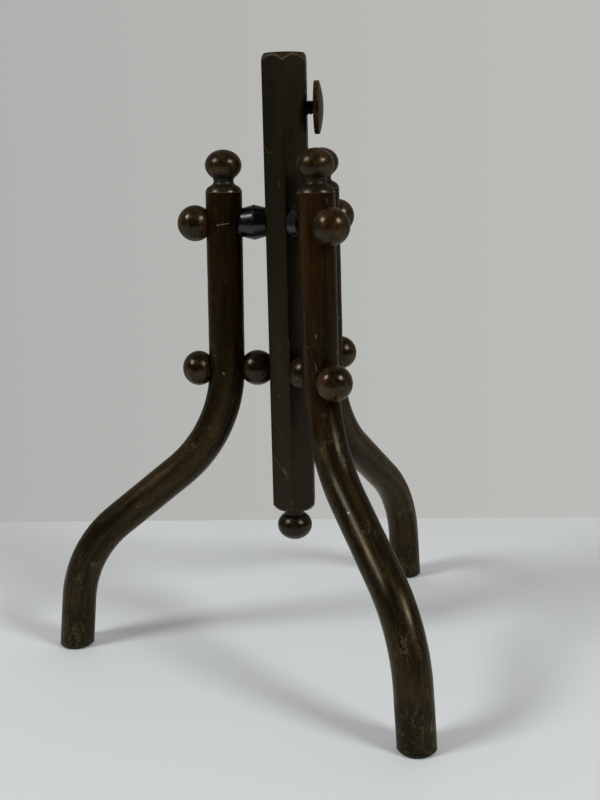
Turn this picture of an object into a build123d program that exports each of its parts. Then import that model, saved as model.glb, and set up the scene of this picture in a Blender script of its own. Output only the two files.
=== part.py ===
"""Tripod stand: a hollow six-sided post on three bent tube legs, with a clamp screw for a rod.

The floor is z = 0 and the post stands on the Z axis. The front leg points along -Y.
Each leg is drawn in its own plane, X outwards and Z up, and is then turned about the post.
Lengths are millimetres and angles are degrees.
"""

import os
from math import cos, radians, sin, tan

from build123d import *

# Clearances between pieces of the same assembly
SEAT = 0.05  # between two pieces that are drawn up against each other
FIT = 0.04  # radial, between a stud or spigot and its hole
RUNNING = 0.05  # radial, where a piece turns or slides
DRILL_ALLOWANCE = 0.3  # how much deeper a blind hole is than what it holds

# Angles about the post, from -Y towards +X
LEG_ANGLES = {"front": 0, "rear_left": -120, "rear_right": 120}
SCREW_ANGLE = 60

# Post
POST_FLATS = 14.8
POST_TOP = 214.9
POST_BOTTOM = 55.2
POST_EDGE_ROUND = 0.7
POST_RIM_R = 6.9  # where the turned chamfers end on the two end faces
CHAMFER_REACH = 2.0  # radius that the turned chamfers cover, past the post's edges
TOP_CHAMFER_SLOPE = 1.6  # height of the chamfer for each millimetre of radius
BOTTOM_CHAMFER_SLOPE = 1.25
ROD_BORE_R = 4.05  # takes a rod of 5/16 inch
BORE_FLOOR = 63.2

# Leg tube and its centreline, from the top down
TUBE_R = 6.35
TUBE_WALL = 1.2
LEG_TOP = 169.2
LEG_TOP_OUT = 22.03  # from the post's axis to the tube's axis at the top
LEG_TILT = 0.975  # how far the upper run leans out, going down
BEND_TOP = 107.9
UPPER_BEND_R = 51.4
MIDDLE_LEAN = 51.2
MIDDLE_LENGTH = 30.5
LOWER_BEND_R = 45.9
FOOT_LEAN = 6.2
BELOW_FLOOR = 3.0  # the tube is swept this far below the floor and then cut

# Foot plug
PLUG_HEAD = 1.2
PLUG_BEVEL = 0.8
PLUG_SPIGOT = 7.0

# Leg finial, heights above the top of the tube
RIM_HEIGHT = 0.25
SHOULDER_MIDDLE = (5.7, 1.5)  # radius and height of a point on the domed shoulder
SHOULDER_TOP = (4.4, 2.45)
NECK = (3.45, 3.85)
NECK_TOP = (4.15, 5.25)
FINIAL_BALL_R = 6.32
FINIAL_BALL_HALF = 5.3  # half height of the flattened ball
FINIAL_BALL_CENTRE = 9.25
FINIAL_SPIGOT = 6.0

# Ball under the post
POST_BALL_R = 6.3
POST_BALL_HALF = 5.4
POST_BALL_CENTRE = 48.2
POST_BALL_STEM_R = 3.6

# Pins that tie each leg to the post
PIN_HEIGHTS = {"upper": 158.8, "lower": 107.3}
STUD_R = 1.9
STUD_IN_POST = 3.0
STUD_IN_NUT = 5.5

# Ball nuts: radius, half length along the pin, and distance of the tube's wall from the centre
NUTS = {"upper": (6.25, 6.15, 3.9), "lower": (6.2, 5.75, 3.8)}

# Spacers between post and leg
BALL_SPACER_R = 6.3
CONE_RIDGE_R = 6.08
CONE_END_R = 4.95

SADDLE_DEPTH = 0.9  # how far nuts and spacers reach round the tube

# Clamp screw, distances from the post's axis along the screw
SCREW_HEIGHT = 197.0
SCREW_R = 2.4
SCREW_TIP = 4.15
SCREW_TIP_CHAMFER = 0.4
DISC_R = 8.85
DISC_RIM_INNER = 10.0
DISC_RIM_OUTER = 11.7
DISC_CROWN_INNER = 0.45  # how far the face towards the post domes beyond the rim
DISC_CROWN_OUTER = 1.35
DISC_RIM_ROUND = 0.3
TENON_R = 1.5
TENON_SKIN = 0.6  # metal left between the tenon's hole and the outer face


def about_post(shape, angle, height=0.0):
    """Turn a shape drawn with X outwards to an angle about the post, and lift it."""
    return Pos(0, 0, height) * Rot(0, 0, angle - 90) * shape


def on_pin(shape, distance=0.0):
    """Lay a shape turned about Z along X, with its origin at a distance from the post's axis."""
    return Pos(distance, 0, 0) * Rot(0, 90, 0) * shape


def rod(radius, low, high):
    """Cylinder about Z between two heights."""
    return Pos(0, 0, low) * extrude(Circle(radius), high - low)


def turned(outline):
    """Solid of revolution about Z of an outline in radius and height."""
    return revolve(Plane.XZ * make_face(outline), Axis.Z)


def flattened_ball(radius, half, low, high):
    """Ball about Z with its own half height, cut flat at a low and a high distance from its centre."""
    return scale(Sphere(radius), (1, 1, half / radius)) & rod(2 * radius, low, high)


def down_leg(lean):
    """Direction in the leg's plane that runs down at a lean outwards from the vertical."""
    return Vector(sin(radians(lean)), -cos(radians(lean)))


def bend(start, radius, lean_in, lean_out):
    """Middle and end of an arc that starts at a point and changes the leg's lean."""
    side = 1 if lean_out > lean_in else -1
    centre = start + down_leg(lean_in + 90) * side * radius
    middle_lean = (lean_in + lean_out) / 2
    middle = centre - down_leg(middle_lean + 90) * side * radius
    end = centre - down_leg(lean_out + 90) * side * radius
    return middle, end


def tube_axis_out(height):
    """Distance of the tube's axis from the post's axis on the upper run."""
    return LEG_TOP_OUT + (LEG_TOP - height) * tan(radians(LEG_TILT))


# Corners of the leg's centreline, in its plane
TOP_POINT = Vector(LEG_TOP_OUT, LEG_TOP)
BEND_START = Vector(tube_axis_out(BEND_TOP), BEND_TOP)
UPPER_MIDDLE, UPPER_END = bend(BEND_START, UPPER_BEND_R, LEG_TILT, MIDDLE_LEAN)
KNEE = UPPER_END + down_leg(MIDDLE_LEAN) * MIDDLE_LENGTH
LOWER_MIDDLE, ANKLE = bend(KNEE, LOWER_BEND_R, MIDDLE_LEAN, FOOT_LEAN)
FOOT_OUT = ANKLE.X + ANKLE.Y * tan(radians(FOOT_LEAN))


def leg_path():
    """Centreline of a leg: upper run, bend out, middle run, bend back, and foot."""
    end = ANKLE + down_leg(FOOT_LEAN) * ((ANKLE.Y + BELOW_FLOOR) / cos(radians(FOOT_LEAN)))
    path = Line(TOP_POINT, BEND_START)
    path += ThreePointArc(BEND_START, UPPER_MIDDLE, UPPER_END)
    path += Line(UPPER_END, KNEE)
    path += ThreePointArc(KNEE, LOWER_MIDDLE, ANKLE)
    path += Line(ANKLE, end)
    return Plane.XZ * path


def swept(radius):
    """Round bar along the leg's centreline."""
    path = leg_path()
    section = Plane(origin=path @ 0, z_dir=path % 0) * Circle(radius)
    return sweep(section, path=path)


def slab(low, high):
    """Wide block between two heights around the foot, used to keep part of a leaning shape."""
    width = 4 * TUBE_R
    return Pos(FOOT_OUT, 0, (low + high) / 2) * Box(width, width, high - low)


def leaning_at_foot(shape):
    """Stand a shape turned about Z on the foot's axis."""
    return Pos(FOOT_OUT, 0, 0) * Rot(0, -FOOT_LEAN, 0) * shape


def leg_tube():
    """Bent tube, cut level above the foot plug, with a hole through both walls for each pin."""
    below = slab(-2 * BELOW_FLOOR, PLUG_HEAD + SEAT)
    tube = swept(TUBE_R) - swept(TUBE_R - TUBE_WALL) - below
    for height in PIN_HEIGHTS.values():
        tube -= Pos(0, 0, height) * on_pin(rod(STUD_R + FIT, 0, 2 * LEG_TOP_OUT))
    return tube


def leg_finial():
    """Domed shoulder, neck and flattened ball, with a spigot that closes the tube's top."""
    outline = Line((0, -FINIAL_SPIGOT), (TUBE_R - TUBE_WALL - FIT, -FINIAL_SPIGOT))
    outline += Line((TUBE_R - TUBE_WALL - FIT, -FINIAL_SPIGOT), (TUBE_R - TUBE_WALL - FIT, SEAT))
    outline += Line((TUBE_R - TUBE_WALL - FIT, SEAT), (TUBE_R, SEAT))
    outline += Line((TUBE_R, SEAT), (TUBE_R, RIM_HEIGHT))
    outline += ThreePointArc((TUBE_R, RIM_HEIGHT), SHOULDER_MIDDLE, SHOULDER_TOP)
    outline += ThreePointArc(SHOULDER_TOP, NECK, NECK_TOP)
    outline += Line(NECK_TOP, (0, NECK_TOP[1]))
    outline += Line((0, NECK_TOP[1]), (0, -FINIAL_SPIGOT))
    ball = flattened_ball(FINIAL_BALL_R, FINIAL_BALL_HALF, -FINIAL_BALL_HALF, FINIAL_BALL_HALF)
    finial = turned(outline) + Pos(0, 0, FINIAL_BALL_CENTRE) * ball
    return Pos(LEG_TOP_OUT, 0, LEG_TOP) * Rot(0, -LEG_TILT, 0) * finial


def foot_plug():
    """Bevelled end of the foot, ground level with the floor, with a spigot up the tube."""
    reach = PLUG_SPIGOT + 2 * PLUG_HEAD
    head = leaning_at_foot(rod(TUBE_R, -reach, reach)) & slab(0, PLUG_HEAD)
    head = chamfer(head.edges().group_by(Axis.Z)[0], PLUG_BEVEL)
    spigot = leaning_at_foot(rod(TUBE_R - TUBE_WALL - FIT, -reach, reach))
    return head + (spigot & slab(PLUG_HEAD / 2, PLUG_SPIGOT))


def post():
    """Six-sided post with a turned chamfer at each end, a bore for the rod, and its threaded holes."""
    hexagon = RegularPolygon(POST_FLATS / 2, 6, major_radius=False)
    hexagon = fillet(hexagon.vertices(), POST_EDGE_ROUND)
    bar = Pos(0, 0, POST_BOTTOM) * extrude(hexagon, POST_TOP - POST_BOTTOM)
    outer = POST_RIM_R + CHAMFER_REACH
    bottom_rise = CHAMFER_REACH * BOTTOM_CHAMFER_SLOPE
    top_drop = CHAMFER_REACH * TOP_CHAMFER_SLOPE
    profile = Polyline(
        (0, POST_BOTTOM),
        (POST_RIM_R, POST_BOTTOM),
        (outer, POST_BOTTOM + bottom_rise),
        (outer, POST_TOP - top_drop),
        (POST_RIM_R, POST_TOP),
        (0, POST_TOP),
        close=True,
    )
    body = bar & turned(profile)
    body -= rod(ROD_BORE_R, BORE_FLOOR, POST_TOP)
    body -= rod(POST_BALL_STEM_R + FIT, POST_BOTTOM, BORE_FLOOR)
    stud_hole_floor = POST_FLATS / 2 - STUD_IN_POST - SEAT
    stud_hole = on_pin(rod(STUD_R + FIT, stud_hole_floor, POST_FLATS))
    screw_hole = on_pin(rod(SCREW_R + RUNNING, ROD_BORE_R / 2, POST_FLATS))
    for angle in LEG_ANGLES.values():
        for height in PIN_HEIGHTS.values():
            body -= about_post(stud_hole, angle, height)
    return body - about_post(screw_hole, SCREW_ANGLE, SCREW_HEIGHT)


def post_finial():
    """Flattened ball on a stem that screws into the bottom of the post."""
    ball = flattened_ball(POST_BALL_R, POST_BALL_HALF, -POST_BALL_HALF, POST_BALL_HALF)
    stem = rod(POST_BALL_STEM_R, POST_BALL_CENTRE, BORE_FLOOR - SEAT)
    return Pos(0, 0, POST_BALL_CENTRE) * ball + stem


def at_pin(shape, level):
    """Lift a shape to its pin and hollow it where it would run into the leg tube."""
    return Pos(0, 0, PIN_HEIGHTS[level]) * shape - swept(TUBE_R + SEAT)


def ball_nut(level):
    """Ball with a saddle that fits the outside of the leg and a blind threaded hole."""
    radius, half, wall = NUTS[level]
    flat = wall + SADDLE_DEPTH
    hole_end = STUD_IN_NUT + DRILL_ALLOWANCE - wall
    nut = flattened_ball(radius, half, -flat, half) - rod(STUD_R + FIT, -flat, hole_end)
    centre = tube_axis_out(PIN_HEIGHTS[level]) + TUBE_R + wall
    return at_pin(on_pin(nut, centre), level)


def stud(level):
    """Threaded rod from the post's wall through spacer and leg into the ball nut."""
    start = POST_FLATS / 2 - STUD_IN_POST
    end = tube_axis_out(PIN_HEIGHTS[level]) + TUBE_R + STUD_IN_NUT
    return Pos(0, 0, PIN_HEIGHTS[level]) * on_pin(rod(STUD_R, start, end))


def spacer_ends(level):
    """Distances from the post's axis to the start of a spacer and to the tube's wall."""
    return POST_FLATS / 2 + SEAT, tube_axis_out(PIN_HEIGHTS[level]) - TUBE_R


def cone_spacer():
    """Two short cones back to back, bored for the upper stud, with a saddle towards the leg."""
    start, wall = spacer_ends("upper")
    outline = Polyline(
        (STUD_R + FIT, start),
        (CONE_END_R, start),
        (CONE_RIDGE_R, (start + wall) / 2),
        (CONE_END_R, wall),
        (CONE_END_R, wall + SADDLE_DEPTH),
        (STUD_R + FIT, wall + SADDLE_DEPTH),
        close=True,
    )
    return at_pin(on_pin(turned(outline)), "upper")


def ball_spacer():
    """Ball cut flat towards the post, bored for the lower stud, with a saddle towards the leg."""
    start, wall = spacer_ends("lower")
    half_gap = (wall - start) / 2
    flat = half_gap + SADDLE_DEPTH
    ball = flattened_ball(BALL_SPACER_R, BALL_SPACER_R, -half_gap, flat)
    ball -= rod(STUD_R + FIT, -half_gap, flat)
    return at_pin(on_pin(ball, (start + wall) / 2), "lower")


def screw_shank():
    """Threaded stem of the clamp screw, with a tenon that carries the disc."""
    shoulder = DISC_RIM_INNER - DISC_CROWN_INNER - SEAT
    body = on_pin(rod(SCREW_R, SCREW_TIP, shoulder))
    body = chamfer(body.edges().group_by(Axis.X)[0], SCREW_TIP_CHAMFER)
    tenon_end = DISC_RIM_OUTER + DISC_CROWN_OUTER - TENON_SKIN
    tenon = on_pin(rod(TENON_R, shoulder, tenon_end - SEAT))
    return body + tenon


def dome_radius(crown):
    """Radius of the sphere that rises by its crown over the width of the disc."""
    return (DISC_R**2 + crown**2) / (2 * crown)


def screw_disc():
    """Thin disc, domed on both faces, with a hole for the tenon in its inner face."""
    inner = DISC_RIM_INNER - DISC_CROWN_INNER
    outer = DISC_RIM_OUTER + DISC_CROWN_OUTER
    inner_dome = dome_radius(DISC_CROWN_INNER)
    outer_dome = dome_radius(DISC_CROWN_OUTER)
    disc = rod(DISC_R, inner, outer)
    disc &= Pos(0, 0, inner + inner_dome) * Sphere(inner_dome)
    disc &= Pos(0, 0, outer - outer_dome) * Sphere(outer_dome)
    disc = fillet(disc.edges().filter_by(GeomType.CIRCLE), DISC_RIM_ROUND)
    return on_pin(disc - rod(TENON_R + RUNNING, inner, outer - TENON_SKIN))


def write(name, shape):
    """Write one sub-part to its own file."""
    export_step(shape, f"parts/{name}.step")


def main():
    os.makedirs("parts", exist_ok=True)
    write("hex_post", post())
    write("post_finial", post_finial())
    write("clamp_screw_shank", about_post(screw_shank(), SCREW_ANGLE, SCREW_HEIGHT))
    write("clamp_screw_disc", about_post(screw_disc(), SCREW_ANGLE, SCREW_HEIGHT))

    leg_pieces = {
        "leg_tube": leg_tube(),
        "leg_finial": leg_finial(),
        "foot_plug": foot_plug(),
        "upper_spacer": cone_spacer(),
        "lower_spacer": ball_spacer(),
    }
    for level in PIN_HEIGHTS:
        leg_pieces[f"{level}_stud"] = stud(level)
        leg_pieces[f"{level}_ball_nut"] = ball_nut(level)
    for leg, angle in LEG_ANGLES.items():
        for name, shape in leg_pieces.items():
            write(f"{name}_{leg}", about_post(shape, angle))


main()
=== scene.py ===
"""Dark brass tripod stand with a clamp screw, on a plain pale sheet in soft studio light.

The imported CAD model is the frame: metres, floor at z = 0, post on the Z axis, front leg along -Y.
The leg tubes, the studs and the clamp screw's stem are rebuilt here in mesh code.
Every other CAD node keeps its shape and gets a procedural finish.
"""

from math import ceil, cos, pi, radians, sin

import bmesh
import bpy
import numpy as np
from mathutils import Matrix, Vector, noise


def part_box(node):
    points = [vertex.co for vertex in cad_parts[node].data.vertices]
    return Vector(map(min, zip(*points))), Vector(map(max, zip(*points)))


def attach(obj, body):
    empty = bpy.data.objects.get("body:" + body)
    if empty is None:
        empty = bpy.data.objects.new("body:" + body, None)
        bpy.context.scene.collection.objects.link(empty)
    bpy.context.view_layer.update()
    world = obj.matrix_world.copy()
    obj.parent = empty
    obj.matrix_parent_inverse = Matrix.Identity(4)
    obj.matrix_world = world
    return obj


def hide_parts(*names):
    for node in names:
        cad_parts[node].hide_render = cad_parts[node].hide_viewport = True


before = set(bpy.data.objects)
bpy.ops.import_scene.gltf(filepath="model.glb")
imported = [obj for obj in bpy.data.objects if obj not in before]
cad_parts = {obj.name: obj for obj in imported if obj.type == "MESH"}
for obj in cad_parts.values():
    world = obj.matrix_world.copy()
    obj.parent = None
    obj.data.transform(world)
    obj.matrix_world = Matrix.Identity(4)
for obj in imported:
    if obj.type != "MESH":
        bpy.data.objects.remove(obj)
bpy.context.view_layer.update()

MM = 0.001

# Camera
CAMERA_PLACE = Vector((-0.16757, -0.35358, 0.18393))
CAMERA_HEADING = radians(25.778)  # from +Y towards +X
CAMERA_PITCH = radians(12.779)  # below the horizontal
CAMERA_ROLL = radians(-1.268)
CAMERA_LENS = 50.146
CAMERA_SENSOR = 36.0
CAMERA_NEAR = 0.01

# Lights: direction from the stand in camera axes (right, up, towards the camera), size, power
STAND_MIDDLE = Vector((0, 0, 0.12))
LIGHT_DISTANCE = 1.2
LIGHTS = {
    "window_left": ((-0.68, 0.52, 0.45), 0.36, 6.5),
    "window_right": ((0.64, 0.46, 0.62), 0.36, 6.5),
}
SHADED_WALL_LEFT = (0.43, 0.43, 0.42)  # seen by the camera past the sheet; darker than the right side as painted shade
WALL_RIGHT = (0.51, 0.51, 0.49)
ROOM_BACK = (0.50, 0.50, 0.48)  # light from behind the stand
ROOM_MIRRORED = (0.20, 0.20, 0.19)  # the same place as the dull metal mirrors it
ROOM_FRONT = (0.03, 0.028, 0.025)  # light from behind the camera
ROOM_REACH = 0.6  # sine of the angle from side-on, forwards and backwards, over which the room changes
WALL_REACH = 0.3  # sine of the angle from the heading, to both sides, over which the wall changes

# Sheet that the stand is on, measured from the post along and across the way it is turned
SHEET_BEHIND = 0.146
SHEET_FRONT = 0.45
SHEET_SIDE = 0.9
SHEET_THICK = 0.004
SHEET_TURN = radians(2.35)  # how far the sheet is turned clockwise from the camera's heading

# Legs, as in the CAD model
LEG_ANGLES = {"front": 0, "rear_left": -120, "rear_right": 120}
TUBE_R = 6.35 * MM
TUBE_WALL = 1.2 * MM
LEG_TOP = 169.2 * MM
LEG_TOP_OUT = 22.03 * MM
LEG_TILT = radians(0.975)
BEND_TOP = 107.9 * MM
UPPER_BEND_R = 51.4 * MM
MIDDLE_LEAN = radians(51.2)
MIDDLE_LENGTH = 30.5 * MM
LOWER_BEND_R = 45.9 * MM
FOOT_LEAN = radians(6.2)
TUBE_END = 1.25 * MM  # height of the tube's level lower end above the floor
PIN_HEIGHTS = {"upper": 158.8 * MM, "lower": 107.3 * MM}
PIN_HOLE_R = 1.94 * MM

# Leg mesh
RING_STEP = 1.0 * MM
RING_SIDES = 96
PIN_HOLE_SIDES = 48
TUBE_SHARP = 35  # degrees from which an edge of the tube stays sharp
DENT_DEPTH = 0.05 * MM
DENT_SIZE = 7.0 * MM
DENTS_APART = 10  # moves each leg to its own part of the dents' pattern, in dents
LEG_APART = 0.5  # the same for the patterns of its patina, in metres

# Where the patina of a leg changes, as distances down the tube from its top
RUBBED = [  # middle, spread, strength
    (0.054, 0.006, 0.5),
    (0.090, 0.012, 0.8),
    (0.122, 0.008, 0.7),
    (0.158, 0.010, 0.9),
    (0.185, 0.005, 1.0),
]
OLIVE_FROM = 0.050
OLIVE_FULL = 0.105
FOOT_DARK_FROM = 0.170
FOOT_DARK_FULL = 0.180

# Scratches on the legs, in mm: leg, (outwards, across, down the tube) of both ends, width
LEG_SCRATCHES = [
    ("rear_left", (1.7, 6.1, 10.9), (-0.3, 6.3, 10.5), 0.30),
    ("rear_left", (-0.3, 6.3, 10.5), (-2.3, 5.9, 10.3), 0.30),
    ("rear_left", (0.6, 6.3, 62.6), (0.3, 6.3, 63.0), 0.55),
    ("front", (5.0, -3.6, 46.0), (4.9, -3.8, 46.8), 0.45),
    ("front", (4.6, -4.2, 55.5), (4.9, -3.9, 58.4), 0.25),
    ("front", (3.9, -4.9, 100.0), (4.4, -4.4, 117.0), 0.16),
]

# Heights where the finish of a leg's finial changes: bright rim of the shoulder, worn and with a painted
# highlight, then dull neck
RIM_FULL = LEG_TOP + 0.25 * MM
RIM_ENDS = LEG_TOP + 0.75 * MM
NECK_FROM = LEG_TOP + 0.4 * MM
NECK_FULL = LEG_TOP + 1.6 * MM
NECK_FADES = LEG_TOP + 5.0 * MM
NECK_ENDS = LEG_TOP + 6.5 * MM

# Heights where the bright line at the bevel of a foot plug starts and is full: rubbed patina and a painted
# highlight of the edge that catches the light
BEVEL_WEAR_AND_HIGHLIGHT_FROM = 0.75 * MM
BEVEL_WEAR_AND_HIGHLIGHT_FULL = 1.0 * MM

# Post, with the cone that chamfers its top
POST_FLATS = 14.8 * MM
POST_TOP = 214.9 * MM
POST_RIM_R = 6.9 * MM  # radius of the cone at the post's top
TOP_CHAMFER_SLOPE = 1.6  # fall of the cone for each step outwards
CHAMFER_FROM = POST_TOP - 0.5 * MM
CHAMFER_FULL = POST_TOP - 0.1 * MM
CHAMFER_WEAR_AND_HIGHLIGHT_FROM = 0.28 * MM  # depths behind a flat between which the chamfer's bright line fades in: worn metal and painted highlight
CHAMFER_WEAR_AND_HIGHLIGHT_FULL = 0.05 * MM
EDGE_FROM = radians(27.0)  # angles from the middle of a flat between which a worn edge fades in
EDGE_FULL = radians(29.5)

# Marks on the post's face between the front and the rear left leg, in mm:
# (across, height) of both ends, width
MARKED_FACE = -60
POST_MARKS = [
    ((-3.85, 184.8), (-2.3, 182.3), 0.16),
    ((-2.3, 182.3), (-0.45, 182.6), 0.16),
    ((-3.4, 75.2), (-0.7, 72.2), 0.28),
    ((0.6, 71.2), (1.6, 69.9), 1.25),
    ((2.9, 69.9), (1.4, 67.2), 0.24),
    ((-0.6, 98.2), (-0.3, 97.8), 0.40),
    ((-2.0, 88.0), (0.8, 82.0), 0.13),
    ((1.6, 173.0), (2.2, 170.6), 0.22),
]

# Threads
STUD_R = 1.9 * MM
STUD_PITCH = 25.4 / 32 * MM
SCREW_R = 2.4 * MM
SCREW_PITCH = 25.4 / 24 * MM
THREAD_DEPTH = 0.3  # of the pitch, as the threads are worn and clogged
THREAD_SIDES = 40
THREAD_STEPS = 8  # rings in each turn
THREAD_FLAT = 0.25  # share of the depth taken off the crests and the roots
THREAD_SHARP = 30  # degrees from which an edge of a thread stays sharp
TIP_CHAMFER = 0.4 * MM  # at both ends of a threaded rod

# Clamp screw. Its tip, shoulder and tenon are placed by their distance from the post's axis
SCREW_ANGLE = 60
SCREW_HEIGHT = 197.0 * MM
SCREW_TIP = 4.15 * MM
SCREW_SHOULDER = 9.5 * MM
TENON_R = 1.5 * MM
TENON_END = 12.4 * MM
DISC_R = 8.85 * MM
DISC_RIM_FROM = DISC_R - 0.7 * MM
DISC_RIM_FULL = DISC_R - 0.1 * MM
DISC_TURNING = 0.35 * MM  # pitch of the turned rings on the disc's faces

# Split along the ridge of one upper spacer, above its pin on the side towards the camera
SPLIT_LEG = "rear_left"
SPLIT_OUT = 11.58 * MM  # distance from the post's axis
SPLIT_FROM = 160.0 * MM
SPLIT_FULL = 160.5 * MM
SPLIT_SIDE = 1.0 * MM  # distance from the pin's own plane at which the split is full
SPLIT_WIDTH = 0.5 * MM
SPLIT_WANDER = 0.15 * MM


# ---------------------------------------------------------------- meshes


def lofted(name, rings, wrap):
    """Mesh through closed rings of points. It wraps from the last ring to the first, or is capped."""
    rings = [np.asarray(ring) for ring in rings]
    sides = len(rings[0])
    count = len(rings)
    faces = []
    for i in range(count if wrap else count - 1):
        here = i * sides
        there = (i + 1) % count * sides
        for k in range(sides):
            after = (k + 1) % sides
            faces.append((here + k, here + after, there + after, there + k))
    if not wrap:
        last = (count - 1) * sides
        faces.append(tuple(reversed(range(sides))))
        faces.append(tuple(range(last, last + sides)))
    mesh = bpy.data.meshes.new(name)
    mesh.from_pydata(np.concatenate(rings).tolist(), [], faces)
    mesh.update()
    return outward(mesh)


def outward(mesh):
    """Turn every face of a closed mesh outwards."""
    shape = bmesh.new()
    shape.from_mesh(mesh)
    bmesh.ops.recalc_face_normals(shape, faces=shape.faces)
    shape.to_mesh(mesh)
    shape.free()
    return mesh


def placed(name, mesh):
    """Object of a mesh, in the scene."""
    thing = bpy.data.objects.new(name, mesh)
    bpy.context.scene.collection.objects.link(thing)
    return thing


def soften(mesh, angle):
    """Shade smooth, apart from edges sharper than an angle in degrees."""
    mesh.shade_smooth()
    mesh.set_sharp_from_angle(angle=radians(angle))


def about_post(mesh, angle, height=0.0):
    """Turn a mesh drawn with X outwards to an angle about the post, and lift it."""
    turn = Matrix.Rotation(radians(angle - 90), 4, "Z")
    mesh.transform(Matrix.Translation((0, 0, height)) @ turn)


def away(angle):
    """Direction away from the post at an angle about it."""
    return Vector((sin(radians(angle)), -cos(radians(angle)), 0))


def down_leg(lean):
    """Direction in the leg's plane, X out and Z up, that runs down at a lean from the vertical."""
    return np.array((sin(lean), 0.0, -cos(lean)))


def leg_stations():
    """Centreline of a leg as rows of point, lean and distance run, from the top down."""
    upper_bend = UPPER_BEND_R * (MIDDLE_LEAN - LEG_TILT)
    lower_bend = LOWER_BEND_R * (MIDDLE_LEAN - FOOT_LEAN)
    upper_run = (LEG_TOP - BEND_TOP) / cos(LEG_TILT)
    point = np.array((LEG_TOP_OUT, 0.0, LEG_TOP))
    lean = LEG_TILT
    run = 0.0
    stations = [(point, lean, run)]
    stretches = [
        (upper_run, LEG_TILT),
        (upper_bend, MIDDLE_LEAN),
        (MIDDLE_LENGTH, MIDDLE_LEAN),
        (lower_bend, FOOT_LEAN),
        (None, FOOT_LEAN),  # down to the tube's end
    ]
    for length, lean_out in stretches:
        if length is None:
            length = (point[2] - TUBE_END) / cos(FOOT_LEAN)
        steps = ceil(length / RING_STEP)
        turn = (lean_out - lean) / steps
        chord = length / steps * float(np.sinc(turn / 2 / pi))
        for _ in range(steps):
            point = point + chord * down_leg(lean + turn / 2)
            lean += turn
            run += length / steps
            stations.append((point, lean, run))
    return stations


def leg_ring(station, radius, leg_index, dented):
    """Ring of points around a leg's centreline, pressed in a little where the tube is dented."""
    point, lean, run = station
    side = np.array((cos(lean), 0.0, sin(lean)))
    across = np.array((0.0, 1.0, 0.0))
    ring = []
    for k in range(RING_SIDES):
        angle = 2 * pi * k / RING_SIDES
        reach = radius
        if dented:
            spot = Vector((cos(angle) * TUBE_R, sin(angle) * TUBE_R, run)) / DENT_SIZE
            spot.x += DENTS_APART * leg_index
            reach -= DENT_DEPTH * max(0.0, noise.noise(spot))
        ring.append(point + reach * (cos(angle) * side + sin(angle) * across))
    return ring


def level(ring, lean):
    """Slide a ring's points along the tube until they are all at the height of its lower end."""
    way = down_leg(lean)
    return [p + way * (p[2] - TUBE_END) / cos(lean) for p in ring]


def pin_cutter():
    """Two round bars along X where the pins cross a leg."""
    shape = bmesh.new()
    for height in PIN_HEIGHTS.values():
        lay = Matrix.Translation((LEG_TOP_OUT, 0, height)) @ Matrix.Rotation(pi / 2, 4, "Y")
        bmesh.ops.create_cone(
            shape,
            cap_ends=True,
            segments=PIN_HOLE_SIDES,
            radius1=PIN_HOLE_R,
            radius2=PIN_HOLE_R,
            depth=4 * TUBE_R,
            matrix=lay,
        )
    mesh = bpy.data.meshes.new("pin_cutter")
    shape.to_mesh(mesh)
    shape.free()
    return placed("pin_cutter", mesh)


def cut(thing, cutter):
    """Take the cutter away from a thing, for good."""
    modifier = thing.modifiers.new("holes", "BOOLEAN")
    modifier.object = cutter
    modifier.solver = "EXACT"
    graph = bpy.context.evaluated_depsgraph_get()
    mesh = bpy.data.meshes.new_from_object(thing.evaluated_get(graph))
    thing.modifiers.clear()
    thing.data = mesh
    bpy.data.objects.remove(cutter)


def straighten(mesh, stations, leg_index):
    """Give each point its place on the tube as if it were straight, and how its patina is there."""
    points = np.array([v.co for v in mesh.vertices])
    centres = np.array([s[0] for s in stations])
    leans = np.array([s[1] for s in stations])
    runs = np.array([s[2] for s in stations])
    gaps = points[:, None, [0, 2]] - centres[None, :, [0, 2]]
    nearest = (gaps**2).sum(2).argmin(1)
    offset = points - centres[nearest]
    lean = leans[nearest]
    outwards = offset[:, 0] * np.cos(lean) + offset[:, 2] * np.sin(lean)
    onwards = offset[:, 0] * np.sin(lean) - offset[:, 2] * np.cos(lean)
    along = runs[nearest] + onwards
    straight = np.stack((outwards, points[:, 1], along + LEG_APART * leg_index), 1)
    attribute = mesh.attributes.new("straight", "FLOAT_VECTOR", "POINT")
    attribute.data.foreach_set("vector", straight.astype(np.float32).ravel())
    rubbed = np.zeros(len(points))
    for place, spread, strength in RUBBED:
        rubbed = np.maximum(rubbed, strength * np.exp(-(((along - place) / spread) ** 2)))
    shares = {
        "rubbed": rubbed,
        "olive": np.clip((along - OLIVE_FROM) / (OLIVE_FULL - OLIVE_FROM), 0, 1),
        "foot_dark": np.clip((along - FOOT_DARK_FROM) / (FOOT_DARK_FULL - FOOT_DARK_FROM), 0, 1),
    }
    for name, values in shares.items():
        attribute = mesh.attributes.new(name, "FLOAT", "POINT")
        attribute.data.foreach_set("value", values.astype(np.float32))


def leg_tube(leg, leg_index):
    """Bent tube with its wall, its level lower end and its pin holes."""
    stations = leg_stations()
    outer = [leg_ring(s, TUBE_R, leg_index, True) for s in stations]
    inner = [leg_ring(s, TUBE_R - TUBE_WALL, leg_index, False) for s in stations]
    outer[-1] = level(outer[-1], FOOT_LEAN)
    inner[-1] = level(inner[-1], FOOT_LEAN)
    tube = placed(f"bent_tube_{leg}", lofted(f"bent_tube_{leg}", outer + inner[::-1], True))
    cut(tube, pin_cutter())
    straighten(tube.data, stations, leg_index)
    soften(tube.data, TUBE_SHARP)
    about_post(tube.data, LEG_ANGLES[leg])
    return tube


def thread_radius(radius, pitch, along, angle):
    """Radius of a right-hand thread with its crests and roots flattened."""
    phase = (along / pitch - angle / (2 * pi)) % 1
    height = 1 - abs(2 * phase - 1)
    height = min(1.0, max(0.0, (height - THREAD_FLAT) / (1 - 2 * THREAD_FLAT)))
    return radius - THREAD_DEPTH * pitch * (1 - height)


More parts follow.
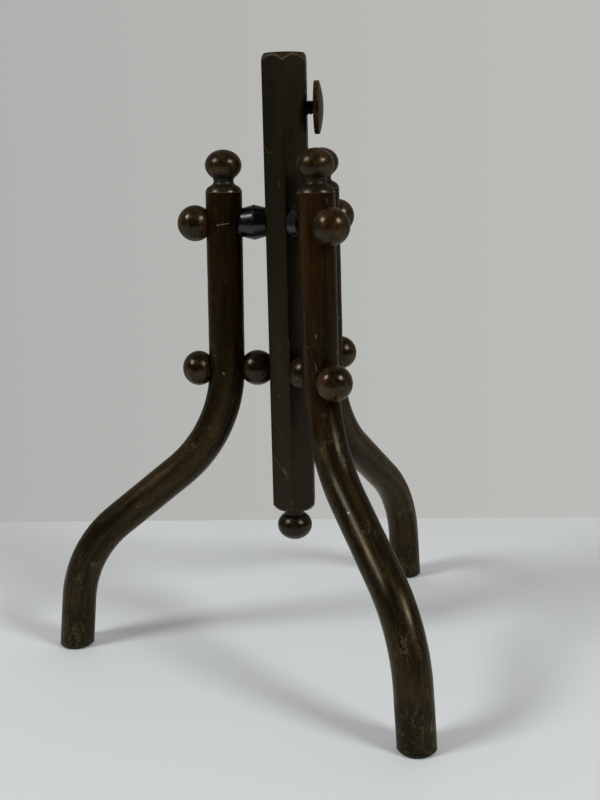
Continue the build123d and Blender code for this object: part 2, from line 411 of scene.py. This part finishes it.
def threaded_rings(radius, pitch, start, end, chamfer):
    """Rings of a threaded rod along X, with a chamfer at both ends."""
    steps = ceil((end - start) / pitch * THREAD_STEPS)
    rings = []
    for i in range(steps + 1):
        along = start + (end - start) * i / steps
        limit = radius - max(0.0, chamfer - (along - start), chamfer - (end - along))
        ring = []
        for k in range(THREAD_SIDES):
            angle = 2 * pi * k / THREAD_SIDES
            reach = min(limit, thread_radius(radius, pitch, along, angle))
            ring.append((along, reach * cos(angle), reach * sin(angle)))
        rings.append(ring)
    return rings


def plain_ring(radius, along):
    """Plain ring about X."""
    turns = [2 * pi * k / THREAD_SIDES for k in range(THREAD_SIDES)]
    return [(along, radius * cos(t), radius * sin(t)) for t in turns]


def screw_stem():
    """Stem of the clamp screw, threaded up to its shoulder, with the tenon that carries the disc."""
    rings = threaded_rings(SCREW_R, SCREW_PITCH, SCREW_TIP, SCREW_SHOULDER, TIP_CHAMFER)
    rings += [plain_ring(TENON_R, SCREW_SHOULDER), plain_ring(TENON_R, TENON_END)]
    mesh = lofted("threaded_stem", rings, False)
    soften(mesh, THREAD_SHARP)
    about_post(mesh, SCREW_ANGLE, SCREW_HEIGHT)
    return placed("threaded_stem", mesh)


def threaded_stud(level_name, leg):
    """Stud with a real thread, as long as the CAD stud that it replaces."""
    low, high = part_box(f"{level_name}_stud_front")
    rings = threaded_rings(STUD_R, STUD_PITCH, -high.y, -low.y, TIP_CHAMFER)
    mesh = lofted(f"threaded_{level_name}_stud_{leg}", rings, False)
    soften(mesh, THREAD_SHARP)
    about_post(mesh, LEG_ANGLES[leg], PIN_HEIGHTS[level_name])
    return placed(mesh.name, mesh)


# ---------------------------------------------------------------- finishes


def colour(red, green, blue):
    """Linear colour that hides what is behind it."""
    return (red, green, blue, 1.0)


WARM = colour(1.0, 0.90, 0.70)  # tint of what dull brass mirrors
NEUTRAL = colour(1.0, 1.0, 1.0)
BLACK_BROWN = colour(0.0042, 0.0026, 0.0009)
SHADOW_BROWN = colour(0.0070, 0.0040, 0.0012)
RED_DARK = colour(0.0200, 0.0095, 0.0022)
UMBER = colour(0.0190, 0.0112, 0.0032)
RED_BROWN = colour(0.0400, 0.0170, 0.0042)
ORANGE_BROWN = colour(0.0950, 0.0460, 0.0130)
AMBER_BROWN = colour(0.0330, 0.0200, 0.0066)
OLIVE_DARK = colour(0.0105, 0.0080, 0.0034)
OLIVE_BROWN = colour(0.0400, 0.0300, 0.0125)
OLIVE_LIGHT = colour(0.0950, 0.0760, 0.0370)
GREEN_BLACK = colour(0.0075, 0.0070, 0.0040)
POST_DARK = colour(0.0088, 0.0064, 0.0030)
POST_BROWN = colour(0.0170, 0.0120, 0.0056)
# Worn metal, also the colour of painted highlights along edges
WORN_METAL_AND_HIGHLIGHT = colour(0.1100, 0.0780, 0.0450)
PALE_RESIDUE = colour(0.2600, 0.2250, 0.1450)
SPACER_BLACK = colour(0.0022, 0.0023, 0.0024)
SPACER_GREY = colour(0.0070, 0.0075, 0.0070)
STUD_DARK = colour(0.05, 0.045, 0.04)
STUD_LIGHT = colour(0.12, 0.11, 0.10)
STEM_DARK = colour(0.004, 0.004, 0.004)
STEM_LIGHT = colour(0.015, 0.013, 0.012)
SHEET_DULL = colour(0.78, 0.81, 0.82)
SHEET_CLEAR = colour(0.81, 0.84, 0.85)


class Finish:
    """Procedural material: small methods that each add a node and give its output."""

    def __init__(self, name, gloss=0.35, tint=WARM):
        self.material = bpy.data.materials.new(name)
        self.material.use_nodes = True
        self.tree = self.material.node_tree
        self.shader = self.tree.nodes["Principled BSDF"]
        self.shader.inputs["Specular IOR Level"].default_value = gloss
        self.shader.inputs["Specular Tint"].default_value = tint

    def node(self, kind, inputs=(), **settings):
        """Add a node, set its properties, and link or set its inputs by name or number."""
        made = self.tree.nodes.new(kind)
        for key, value in settings.items():
            setattr(made, key, value)
        for key, value in dict(inputs).items():
            self.join(made.inputs[key], value)
        return made

    def join(self, socket, value):
        """Link an output to a socket, or set the socket's value."""
        if isinstance(value, bpy.types.NodeSocket):
            self.tree.links.new(value, socket)
        else:
            socket.default_value = value

    def place(self):
        """Place on the part, in metres."""
        return self.node("ShaderNodeTexCoord").outputs["Object"]

    def stored(self, name, output="Fac"):
        """A value kept on the mesh."""
        return self.node("ShaderNodeAttribute", attribute_name=name).outputs[output]

    def parts(self, vector):
        """The three parts of a vector."""
        return self.node("ShaderNodeSeparateXYZ", {0: vector}).outputs

    def height(self, vector):
        """Height of a place."""
        return self.parts(vector)[2]

    def drawn_out(self, vector, squeeze):
        """Vector squeezed along Z, so that a pattern on it is drawn out along Z."""
        return self.node("ShaderNodeMapping", {"Vector": vector, "Scale": (1, 1, squeeze)}).outputs[0]

    def noise(self, vector, scale, detail=4.0, roughness=0.55, distortion=0.0):
        """Soft noise from 0 to 1, with a number of features to the metre."""
        inputs = {
            "Vector": vector,
            "Scale": scale,
            "Detail": detail,
            "Roughness": roughness,
            "Distortion": distortion,
        }
        return self.node("ShaderNodeTexNoise", inputs).outputs[0]

    def step(self, value, low, high, out_low=0.0, out_high=1.0):
        """Smooth change from out_low to out_high, as a value goes from low to high."""
        inputs = {0: value, 1: low, 2: high, 3: out_low, 4: out_high}
        return self.node("ShaderNodeMapRange", inputs, interpolation_type="SMOOTHSTEP").outputs[0]

    def maths(self, operation, first, second=0.0):
        """One sum on two numbers."""
        return self.node("ShaderNodeMath", {0: first, 1: second}, operation=operation).outputs[0]

    def times(self, first, second):
        return self.maths("MULTIPLY", first, second)

    def plus(self, first, second):
        return self.maths("ADD", first, second)

    def larger(self, first, second):
        return self.maths("MAXIMUM", first, second)

    def swing(self, noise_value, size):
        """Noise about zero instead of about a half, with a size."""
        return self.times(self.plus(noise_value, -0.5), size)

    def vector(self, operation, first, second, output=0):
        """One sum on two vectors."""
        return self.node("ShaderNodeVectorMath", {0: first, 1: second}, operation=operation).outputs[output]

    def dot(self, first, second):
        return self.vector("DOT_PRODUCT", first, second, "Value")

    def mixed(self, share, first, second):
        """Colour between two colours."""
        return self.node("ShaderNodeMix", {0: share, 6: first, 7: second}, data_type="RGBA").outputs[2]

    def rough(self, pattern, low, high):
        """Roughness that follows a pattern between two values."""
        return self.step(pattern, 0.3, 0.7, low, high)

    def spots(self, vector, scale, size):
        """Ragged spots in some cells of a grid, up to a size as a share of the cell."""
        cells = self.node("ShaderNodeTexVoronoi", {"Vector": vector, "Scale": scale})
        ragged = self.noise(vector, scale * 6, 2.0)
        distance = self.plus(cells.outputs["Distance"], self.swing(ragged, 0.16))
        pick = self.node("ShaderNodeSeparateColor", {0: cells.outputs["Color"]}).outputs[0]
        limit = self.step(pick, 0.72, 1.0, 0.0, size)
        return self.step(self.maths("SUBTRACT", limit, distance), 0.0, 0.03)

    def line(self, vector, start, end, width, ragged):
        """Mark along a line between two points, with ragged edges."""
        start = Vector(start)
        way = Vector(end) - start
        from_start = self.vector("SUBTRACT", vector, start)
        share = self.times(self.dot(from_start, way), 1 / way.length_squared)
        share = self.node("ShaderNodeClamp", {0: share}).outputs[0]
        nearest = self.node("ShaderNodeVectorMath", {0: way}, operation="SCALE")
        self.join(nearest.inputs["Scale"], share)
        gap = self.vector("DISTANCE", from_start, nearest.outputs[0], "Value")
        gap = self.plus(gap, self.swing(ragged, width))
        return self.step(gap, width * 0.35, width * 0.75, 1.0, 0.0)

    def bumped(self, height, distance):
        """Surface relief of a height times a distance in metres."""
        bump = self.node("ShaderNodeBump", {"Distance": distance, "Height": height})
        self.join(self.shader.inputs["Normal"], bump.outputs[0])

    def finish(self, body, roughness, metallic=0.25):
        """Join the colour, roughness and metal share to the shader."""
        self.join(self.shader.inputs["Base Color"], body)
        self.join(self.shader.inputs["Roughness"], roughness)
        self.join(self.shader.inputs["Metallic"], metallic)
        return self.material


def leg_finish():
    """Patina on drawn tube: red-brown above and olive below, with streaks, rubs, scratches and residue."""
    f = Finish("leg_patina", gloss=0.15)
    where = f.stored("straight", "Vector")
    rubbed = f.stored("rubbed")
    olive = f.stored("olive")
    bands = f.noise(f.drawn_out(where, 0.10), 130, 3.0, 0.5, 0.3)
    streaks = f.noise(f.drawn_out(where, 0.06), 420, 4.0, 0.6)
    fibres = f.noise(f.drawn_out(where, 0.22), 1000, 4.0, 0.7, 0.5)
    grain = f.noise(f.drawn_out(where, 0.65), 1700, 4.0, 0.8)
    patches = f.noise(f.drawn_out(where, 0.45), 300, 6.0, 0.7, 0.6)

    upper = f.mixed(f.step(streaks, 0.40, 0.60), SHADOW_BROWN, RED_DARK)
    reddened = f.times(f.step(bands, 0.46, 0.62), f.step(streaks, 0.40, 0.58, 0.3, 1.0))
    upper = f.mixed(reddened, upper, RED_BROWN)
    streaks_and_bands = f.plus(f.times(streaks, 0.5), f.times(bands, 0.5))
    lower = f.mixed(f.step(streaks_and_bands, 0.45, 0.55), OLIVE_DARK, AMBER_BROWN)
    lightened = f.times(f.step(fibres, 0.50, 0.64), f.step(bands, 0.40, 0.62, 0.2, 0.9))
    lower = f.mixed(lightened, lower, OLIVE_BROWN)
    olive_here = f.step(f.plus(olive, f.swing(patches, 1.2)), 0.25, 0.75)
    body = f.mixed(olive_here, upper, lower)

    body = f.mixed(f.times(f.step(fibres, 0.58, 0.70), 0.25), body, ORANGE_BROWN)
    body = f.mixed(f.times(f.step(fibres, 0.44, 0.34), 0.35), body, BLACK_BROWN)
    body = f.mixed(f.times(f.step(grain, 0.47, 0.35), 0.85), body, BLACK_BROWN)
    flecks = f.times(f.step(grain, 0.56, 0.68), f.step(patches, 0.46, 0.62, 0.1, 0.9))
    body = f.mixed(flecks, body, OLIVE_BROWN)

    worn = f.plus(f.times(patches, 0.6), f.plus(f.times(grain, 0.4), f.times(rubbed, 0.08)))
    scuffs = f.step(worn, 0.60, 0.67)
    body = f.mixed(f.times(scuffs, 0.8), body, OLIVE_LIGHT)

    foot_dark = f.stored("foot_dark")
    foot = f.step(f.plus(foot_dark, f.swing(patches, 1.5)), 0.3, 0.8)
    body = f.mixed(f.times(foot, f.step(worn, 0.58, 0.52, 0.1, 0.85)), body, GREEN_BLACK)
    blotches = f.times(foot_dark, f.step(f.noise(where, 480, 5.0, 0.65), 0.56, 0.66))
    body = f.mixed(f.times(blotches, 0.6), body, OLIVE_LIGHT)

    marks = f.times(f.spots(where, 210, 0.13), 0.6)
    for leg, start, end, width in LEG_SCRATCHES:
        shift = Vector((0, 0, LEG_APART * list(LEG_ANGLES).index(leg)))
        ends = [Vector(p) * MM + shift for p in (start, end)]
        marks = f.larger(marks, f.line(where, *ends, width * MM, grain))
    body = f.mixed(f.times(marks, 0.7), body, PALE_RESIDUE)

    relief = f.plus(f.times(grain, 0.7), f.plus(f.times(scuffs, -0.3), f.times(fibres, 0.5)))
    f.bumped(f.plus(relief, f.times(marks, -0.8)), 0.028 * MM)
    roughness = f.plus(f.rough(patches, 0.23, 0.36), f.times(f.larger(scuffs, foot), 0.12))
    return f.finish(body, roughness)


def brown_patina(f, where, warmth):
    """Mottled brown colour of the turned pieces, and the noises that made it."""
    mottle = f.noise(where, 420, 6.0, 0.72, 0.4)
    cloud = f.noise(where, 170, 3.0, 0.5, 0.4)
    grain = f.noise(where, 1900, 4.0, 0.7)
    body = f.mixed(f.step(mottle, 0.38, 0.60), SHADOW_BROWN, UMBER)
    body = f.mixed(f.times(f.step(mottle, 0.50, 0.62), 0.5), body, OLIVE_BROWN)
    body = f.mixed(f.times(f.step(cloud, 0.44, 0.60), 0.8 * warmth), body, RED_BROWN)
    both = f.plus(f.times(cloud, 0.4), f.times(mottle, 0.6))
    body = f.mixed(f.times(f.step(both, 0.51, 0.62), 0.4 * warmth), body, ORANGE_BROWN)
    body = f.mixed(f.times(f.step(grain, 0.44, 0.32), 0.8), body, BLACK_BROWN)
    return body, mottle, grain


def specked(f, where, body):
    """Colour with a few pale specks of residue on it, and the specks."""
    specks = f.spots(where, 380, 0.12)
    return f.mixed(f.times(specks, 0.45), body, PALE_RESIDUE), specks


def ball_finish(name, warmth, darkness):
    """Turned brass balls, handled until they shine. Some are warmer and some have darkened."""
    f = Finish(name, gloss=0.36)
    where = f.place()
    body, mottle, grain = brown_patina(f, where, warmth)
    body, specks = specked(f, where, f.mixed(darkness, body, GREEN_BLACK))
    f.bumped(f.plus(f.times(mottle, 0.35), f.plus(f.times(grain, 0.5), f.times(specks, 0.3))), 0.022 * MM)
    return f.finish(body, f.plus(f.rough(mottle, 0.18, 0.34), f.times(specks, 0.2)))


def finial_finish():
    """Leg finials: a warm ball over a dull, green-brown neck, with the shoulder's rim worn bright and a
    painted highlight along it.
    """
    f = Finish("finial_patina", gloss=0.34)
    where = f.place()
    body, mottle, grain = brown_patina(f, where, 0.6)
    height = f.height(where)
    ragged_height = f.plus(height, f.swing(mottle, 1.2 * MM))
    neck = f.step(ragged_height, NECK_FROM, NECK_FULL)
    neck = f.times(neck, f.step(ragged_height, NECK_ENDS, NECK_FADES))
    dull = f.mixed(f.step(mottle, 0.36, 0.62), GREEN_BLACK, OLIVE_DARK)
    body = f.mixed(f.times(neck, 0.85), body, dull)
    # Bright rim of the shoulder: worn metal and painted highlight.
    rim = f.step(height, RIM_ENDS, RIM_FULL)
    rim = f.times(rim, f.step(f.noise(where, 260, 3.0), 0.36, 0.58, 0.15, 0.8))
    body = specked(f, where, f.mixed(rim, body, WORN_METAL_AND_HIGHLIGHT))[0]
    f.bumped(f.plus(f.times(mottle, 0.35), f.times(grain, 0.6)), 0.022 * MM)
    return f.finish(body, f.plus(f.rough(mottle, 0.22, 0.36), f.times(neck, 0.16)))


def on_marked_face(across, height):
    """Point on the post's marked face, from millimetres across it and above the floor."""
    point = away(MARKED_FACE + 90) * across * MM + away(MARKED_FACE) * POST_FLATS / 2
    point.z = height * MM
    return point


def post_finish():
    """Drawn hexagon bar: grey-brown patina, lengthwise scratches, worn edges, a bright line at the top
    chamfer that is wear and painted highlight, and a few old marks.
    """
    f = Finish("post_patina", gloss=0.24)
    where = f.place()
    x, y, z = f.parts(where)
    out = f.maths("SQRT", f.plus(f.times(x, x), f.times(y, y)))
    from_flat = f.maths("PINGPONG", f.plus(f.maths("ARCTAN2", x, y), 2 * pi), pi / 6)
    edges = f.step(from_flat, EDGE_FROM, EDGE_FULL)
    depth = f.maths("SUBTRACT", POST_FLATS / 2, f.times(out, f.maths("COSINE", from_flat)))
    cone = f.plus(z, f.times(f.plus(out, -POST_RIM_R), TOP_CHAMFER_SLOPE))
    chamfer = f.step(cone, CHAMFER_FROM, CHAMFER_FULL)
    chamfer_wear_and_highlight = f.times(chamfer, f.step(depth, CHAMFER_WEAR_AND_HIGHLIGHT_FROM, CHAMFER_WEAR_AND_HIGHLIGHT_FULL))

    broad = f.noise(f.drawn_out(where, 0.2), 130, 4.0)
    drawn = f.noise(f.drawn_out(where, 0.015), 2400, 2.0)
    grain = f.noise(where, 1300, 4.0, 0.7)
    patches = f.noise(f.drawn_out(where, 0.6), 300, 5.0, 0.65)
    body = f.mixed(f.step(broad, 0.35, 0.65), POST_DARK, POST_BROWN)
    body = f.mixed(f.times(f.step(patches, 0.54, 0.66), 0.35), body, RED_DARK)
    body = f.mixed(f.times(f.step(drawn, 0.62, 0.78), 0.30), body, OLIVE_BROWN)
    body = f.mixed(f.times(f.step(grain, 0.42, 0.30), 0.5), body, POST_DARK)
    worn_edge = f.times(edges, f.step(patches, 0.36, 0.60, 0.25, 0.8))
    body = f.mixed(worn_edge, body, RED_DARK)
    body = f.mixed(f.times(chamfer, 0.5), body, OLIVE_BROWN)
    # Bright line where the top chamfer meets the flats: worn metal and painted highlight. Worn patches on
    # the edges brighten too.
    bright = f.times(chamfer_wear_and_highlight, f.step(patches, 0.36, 0.55, 0.3, 0.9))
    bright = f.larger(bright, f.times(edges, f.step(patches, 0.56, 0.64, 0.0, 0.4)))
    body = f.mixed(bright, body, WORN_METAL_AND_HIGHLIGHT)

    marks = f.times(f.spots(where, 170, 0.08), 0.5)
    for start, end, width in POST_MARKS:
        ends = [on_marked_face(*p) for p in (start, end)]
        marks = f.larger(marks, f.line(where, *ends, width * MM, grain))
    body = f.mixed(f.times(marks, 0.7), body, OLIVE_LIGHT)
    relief = f.plus(f.times(drawn, 0.4), f.plus(f.times(grain, 0.5), f.times(marks, -0.8)))
    f.bumped(relief, 0.012 * MM)
    return f.finish(body, f.plus(f.rough(grain, 0.30, 0.40), f.times(marks, 0.15)))


def spacer_finish():
    """Polished black spacers with a faint cloud, and a split along the ridge of one of them."""
    f = Finish("spacer_black", gloss=0.45, tint=NEUTRAL)
    where = f.place()
    cloud = f.noise(where, 420, 5.0, 0.65)
    fine = f.noise(where, 2600, 3.0, 0.6)
    body = f.mixed(f.step(cloud, 0.42, 0.70), SPACER_BLACK, SPACER_GREY)
    body = f.mixed(f.times(f.spots(where, 480, 0.10), 0.3), body, OLIVE_LIGHT)
    pin_angle = LEG_ANGLES[SPLIT_LEG]
    from_ridge = f.plus(f.dot(where, away(pin_angle)), -SPLIT_OUT)
    gap = f.plus(f.maths("ABSOLUTE", from_ridge), f.swing(fine, SPLIT_WANDER))
    split = f.step(gap, SPLIT_WIDTH * 0.4, SPLIT_WIDTH * 0.6, 1.0, 0.0)
    split = f.times(split, f.step(f.height(where), SPLIT_FROM, SPLIT_FULL))
    split = f.times(split, f.step(f.dot(where, away(pin_angle + 90)), 0.0, SPLIT_SIDE))
    body = f.mixed(split, body, SPACER_BLACK)
    f.bumped(f.plus(f.plus(f.times(cloud, 0.5), f.times(fine, 0.4)), f.times(split, -6.0)), 0.02 * MM)
    return f.finish(body, f.plus(f.rough(cloud, 0.14, 0.26), f.times(split, 0.5)), 0.0)


def steel_finish(name, dark, light):
    """Oiled dark steel with faint stains."""
    f = Finish(name, tint=NEUTRAL)
    where = f.place()
    cloud = f.noise(where, 700, 4.0)
    body = f.mixed(f.step(cloud, 0.35, 0.65), dark, light)
    f.bumped(f.noise(where, 3000, 2.0), 0.01 * MM)
    return f.finish(body, f.rough(cloud, 0.35, 0.5), 0.7)


def disc_finish():
    """Red-brown disc with turned rings on its faces and a rubbed rim."""
    f = Finish("disc_patina", gloss=0.12)
    where = f.place()
    from_post = f.vector("SUBTRACT", where, Vector((0, 0, SCREW_HEIGHT)))
    along = f.dot(from_post, away(SCREW_ANGLE))
    out = f.maths("SQRT", f.maths("SUBTRACT", f.dot(from_post, from_post), f.times(along, along)))
    rings = f.maths("SINE", f.times(out, 2 * pi / DISC_TURNING))
    body, mottle, grain = brown_patina(f, where, 0.7)
    rim = f.step(out, DISC_RIM_FROM, DISC_RIM_FULL)
    body = f.mixed(f.times(rim, f.step(mottle, 0.40, 0.62, 0.0, 0.2)), body, ORANGE_BROWN)
    f.bumped(f.plus(f.times(rings, 0.12), f.times(grain, 0.6)), 0.02 * MM)
    return f.finish(body, f.rough(mottle, 0.24, 0.38))


def foot_finish():
    """End of the foot: nearly black, with a thin line at the bevel that is rubbed patina and painted
    highlight.
    """
    f = Finish("foot_patina", gloss=0.15)
    where = f.place()
    mottle = f.noise(where, 520, 5.0, 0.7)
    body = f.mixed(f.step(mottle, 0.38, 0.62), GREEN_BLACK, OLIVE_DARK)
    height = f.height(where)
    # Lighter above the bevel: rubbed patina and painted highlight where the edge catches the light.
    worn = f.times(f.step(height, BEVEL_WEAR_AND_HIGHLIGHT_FROM, BEVEL_WEAR_AND_HIGHLIGHT_FULL), f.step(mottle, 0.44, 0.60))
    body = f.mixed(f.times(worn, 0.7), body, OLIVE_LIGHT)
    f.bumped(mottle, 0.02 * MM)
    return f.finish(body, f.rough(mottle, 0.34, 0.5))


def sheet_finish():
    """Smooth white plastic."""
    f = Finish("pale_sheet", gloss=0.3, tint=NEUTRAL)
    cloud = f.noise(f.place(), 6, 3.0)
    return f.finish(f.mixed(cloud, SHEET_DULL, SHEET_CLEAR), 0.55, 0.0)


def dress(thing, material):
    """Put one material on the whole of a thing."""
    thing.data.materials.clear()
    thing.data.materials.append(material)


# ---------------------------------------------------------------- scene


def camera_axes():
    """Camera's right, up and backward directions."""
    heading = Vector((sin(CAMERA_HEADING), cos(CAMERA_HEADING), 0))
    ahead = heading * cos(CAMERA_PITCH) - Vector((0, 0, sin(CAMERA_PITCH)))
    right = Vector((cos(CAMERA_HEADING), -sin(CAMERA_HEADING), 0))
    up = right.cross(ahead)
    rolled_right = right * cos(CAMERA_ROLL) + up * sin(CAMERA_ROLL)
    rolled_up = up * cos(CAMERA_ROLL) - right * sin(CAMERA_ROLL)
    return rolled_right, rolled_up, -ahead


def make_camera():
    """Camera of the photograph's view."""
    data = bpy.data.cameras.new("camera")
    data.lens = CAMERA_LENS
    data.sensor_width = CAMERA_SENSOR
    data.clip_start = CAMERA_NEAR
    camera = placed("camera", data)
    turn = Matrix(camera_axes()).transposed().to_4x4()
    camera.matrix_world = Matrix.Translation(CAMERA_PLACE) @ turn
    bpy.context.scene.camera = camera


def make_lights():
    """Two round soft lights, to the left and the right of the stand."""
    axes = camera_axes()
    for name, (way, size, power) in LIGHTS.items():
        data = bpy.data.lights.new(name, "AREA")
        data.shape = "DISK"
        data.size = size
        data.energy = power
        lamp = placed(name, data)
        direction = sum((part * axis for part, axis in zip(way, axes)), Vector())
        lamp.location = STAND_MIDDLE + direction.normalized() * LIGHT_DISTANCE
        lamp.rotation_euler = direction.to_track_quat("Z", "Y").to_euler()


def make_world():
    """Pale wall to the camera, with painted shade that darkens it towards the left. As a light, the room is
    bright behind the stand and dim in front of it.
    """
    world = bpy.data.worlds.new("studio")
    bpy.context.scene.world = world
    world.use_nodes = True
    tree = world.node_tree
    place = tree.nodes.new("ShaderNodeTexCoord")

    def blended(share, first, second):
        """Mix of two colours or outputs."""
        mix = tree.nodes.new("ShaderNodeMix")
        mix.data_type = "RGBA"
        tree.links.new(share, mix.inputs[0])
        for socket, value in ((mix.inputs[6], first), (mix.inputs[7], second)):
            if isinstance(value, bpy.types.NodeSocket):
                tree.links.new(value, socket)
            else:
                socket.default_value = value
        return mix.outputs[2]

    def across(direction, reach, first, second):
        """Colour that changes from one side of the room to the other."""
        facing = tree.nodes.new("ShaderNodeVectorMath")
        facing.operation = "DOT_PRODUCT"
        facing.inputs[1].default_value = direction
        tree.links.new(place.outputs["Generated"], facing.inputs[0])
        share = tree.nodes.new("ShaderNodeMapRange")
        share.inputs["From Min"].default_value = -reach
        share.inputs["From Max"].default_value = reach
        tree.links.new(facing.outputs["Value"], share.inputs["Value"])
        return blended(share.outputs[0], (*first, 1), (*second, 1))

    heading = (sin(CAMERA_HEADING), cos(CAMERA_HEADING), 0)
    right = (cos(CAMERA_HEADING), -sin(CAMERA_HEADING), 0)
    room = across(heading, ROOM_REACH, ROOM_FRONT, ROOM_BACK)
    mirrored = across(heading, ROOM_REACH, ROOM_FRONT, ROOM_MIRRORED)
    # The wall seen by the camera darkens towards the left: painted shade.
    wall = across(right, WALL_REACH, SHADED_WALL_LEFT, WALL_RIGHT)
    seen = tree.nodes.new("ShaderNodeLightPath")
    lighting = blended(seen.outputs["Is Glossy Ray"], room, mirrored)
    background = blended(seen.outputs["Is Camera Ray"], lighting, wall)
    tree.links.new(background, tree.nodes["Background"].inputs["Color"])
    bpy.context.scene.view_settings.view_transform = "Standard"


def make_sheet():
    """Thin flat sheet under the stand, turned a little from the camera's heading."""
    shape = bmesh.new()
    corners = [
        (-SHEET_SIDE, -SHEET_FRONT),
        (SHEET_SIDE, -SHEET_FRONT),
        (SHEET_SIDE, SHEET_BEHIND),
        (-SHEET_SIDE, SHEET_BEHIND),
    ]
    top = shape.faces.new([shape.verts.new((x, y, 0)) for x, y in corners])
    low = bmesh.ops.extrude_face_region(shape, geom=[top])
    moved = [v for v in low["geom"] if isinstance(v, bmesh.types.BMVert)]
    bmesh.ops.translate(shape, verts=moved, vec=(0, 0, -SHEET_THICK))
    bmesh.ops.recalc_face_normals(shape, faces=shape.faces)
    mesh = bpy.data.meshes.new("sheet")
    shape.to_mesh(mesh)
    shape.free()
    mesh.transform(Matrix.Rotation(-CAMERA_HEADING - SHEET_TURN, 4, "Z"))
    sheet = placed("sheet", mesh)
    dress(sheet, sheet_finish())


def add_piece(piece, body, node, material):
    """Let a rebuilt piece stand for its CAD node, ride on a body and take a finish."""
    dress(piece, material)
    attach(piece, body)
    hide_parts(node)


def make_stand():
    """Rebuilt pieces, and finishes on the CAD nodes that stay."""
    leg_material = leg_finish()
    stud_material = steel_finish("stud_steel", STUD_DARK, STUD_LIGHT)
    stem_material = steel_finish("stem_black", STEM_DARK, STEM_LIGHT)
    kept = {  # by how the names of the nodes start
        "hex_post": post_finish(),
        "post_finial": ball_finish("dark_ball_patina", 0.1, 0.7),
        "clamp_screw_disc": disc_finish(),
        "leg_finial": finial_finish(),
        "upper_spacer": spacer_finish(),
        "lower_spacer": ball_finish("brown_ball_patina", 0.4, 0.3),
        "upper_ball_nut": ball_finish("warm_ball_patina", 1.0, 0.0),
        "lower_ball_nut": ball_finish("olive_ball_patina", 0.8, 0.0),
        "foot_plug": foot_finish(),
    }
    for index, leg in enumerate(LEG_ANGLES):
        add_piece(leg_tube(leg, index), "stand", f"leg_tube_{leg}", leg_material)
        for level_name in PIN_HEIGHTS:
            stud = threaded_stud(level_name, leg)
            add_piece(stud, "stand", f"{level_name}_stud_{leg}", stud_material)
    add_piece(screw_stem(), "clamp_shank", "clamp_screw_shank", stem_material)
    for name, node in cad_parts.items():
        for start, material in kept.items():
            if name.startswith(start):
                dress(node, material)


make_camera()
make_lights()
make_world()
make_sheet()
make_stand()
